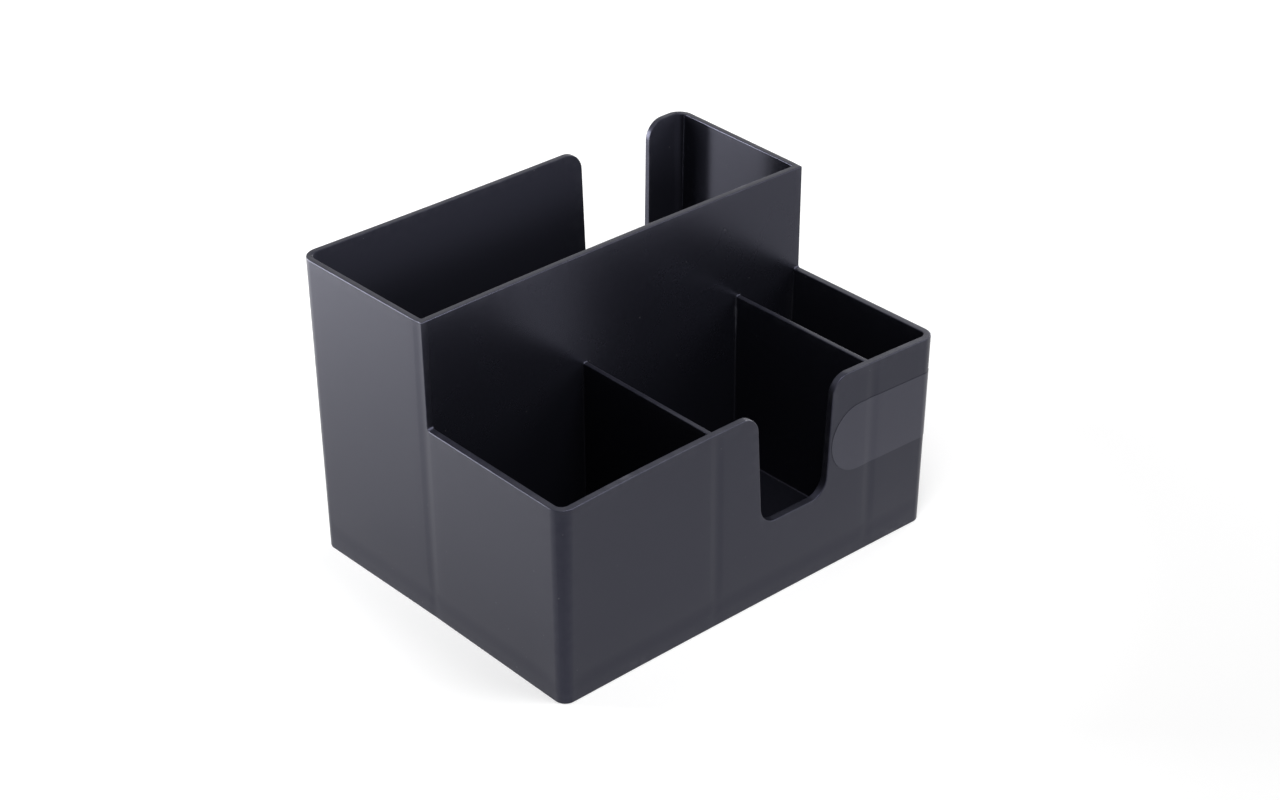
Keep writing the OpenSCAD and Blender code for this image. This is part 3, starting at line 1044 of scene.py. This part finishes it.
def softbox(name, place, aim, size, power):
    """A large square lamp that points at a place."""
    data = bpy.data.lights.new(name, "AREA")
    data.shape = "RECTANGLE"
    data.size = size[0]
    data.size_y = size[1]
    data.energy = power
    lamp = bpy.data.objects.new(name, data)
    bpy.context.scene.collection.objects.link(lamp)
    lamp.location = place
    lamp.rotation_euler = (Vector(aim) - Vector(place)).to_track_quat("-Z", "Y").to_euler()


def photo_camera(lens):
    """The camera, at the photograph's viewing angle."""
    data = bpy.data.cameras.new("Photo Camera")
    data.sensor_width = CAMERA_FRAME_MM
    data.lens = lens
    data.clip_start = CAMERA_REACH[0]
    data.clip_end = CAMERA_REACH[1]
    camera = bpy.data.objects.new("photo_camera", data)
    bpy.context.scene.collection.objects.link(camera)
    camera.location = CAMERA_PLACE
    camera.rotation_euler = Vector(CAMERA_VIEW).to_track_quat("-Z", "Y").to_euler()
    return camera


class CADDY_OT_stage(bpy.types.Operator):
    """Sets up the pale floor, the softboxes, the room light and the camera"""

    bl_idname = "caddy.stage"
    bl_label = "Studio"
    bl_options = {"REGISTER", "UNDO"}

    def execute(self, context):
        stage = context.scene.caddy_stage
        deselect_all()
        bpy.ops.mesh.primitive_plane_add(size=FLOOR_SIZE, location=(0, 0, -FLOOR_GAP))
        floor = context.object
        floor.name = "studio_floor"
        bpy.ops.object.transform_apply(location=True, rotation=True, scale=True)
        floor.data.materials.append(studio_floor(stage))
        context.scene.world = studio_room(stage)
        for name, place, aim, size, setting in LAMPS:
            softbox(name, place, aim, size, getattr(stage, setting))
        context.scene.camera = photo_camera(stage.lens)
        context.scene.view_settings.view_transform = "Standard"
        return {"FINISHED"}


class CADDY_PT_panel(bpy.types.Panel):
    """Lists the steps that build the caddy, with their sizes and colours"""

    bl_idname = "CADDY_PT_panel"
    bl_label = "Table Caddy"
    bl_space_type = "VIEW_3D"
    bl_region_type = "UI"
    bl_category = "Caddy"

    def draw(self, context):
        for title, operator, name, _ in SECTIONS:
            box = self.layout.box()
            box.label(text=title)
            if operator:
                box.operator(operator)
            settings = getattr(context.scene, name)
            for prop in type(settings).__annotations__:
                box.prop(settings, prop)


# The panel's sections: title, operator, and the settings with their place in the scene
SECTIONS = (
    ("Body", "caddy.body", "caddy_body", CaddyBodySettings),
    ("Label", "caddy.label", "caddy_label", CaddyLabelSettings),
    ("Finishes", None, "caddy_finish", CaddyFinishSettings),
    ("Studio", "caddy.stage", "caddy_stage", CaddyStageSettings),
)
CLASSES = tuple(section[3] for section in SECTIONS) + (
    CADDY_OT_body,
    CADDY_OT_label,
    CADDY_OT_stage,
    CADDY_PT_panel,
)


def register():
    for item in CLASSES:
        bpy.utils.register_class(item)
    for _, _, name, settings in SECTIONS:
        setattr(bpy.types.Scene, name, PointerProperty(type=settings))


def unregister():
    for _, _, name, _ in SECTIONS:
        delattr(bpy.types.Scene, name)
    for item in reversed(CLASSES):
        bpy.utils.unregister_class(item)


def main():
    register()
    bpy.ops.caddy.stage()
    bpy.ops.caddy.body()
    bpy.ops.caddy.label()


if __name__ == "__main__":
    main()
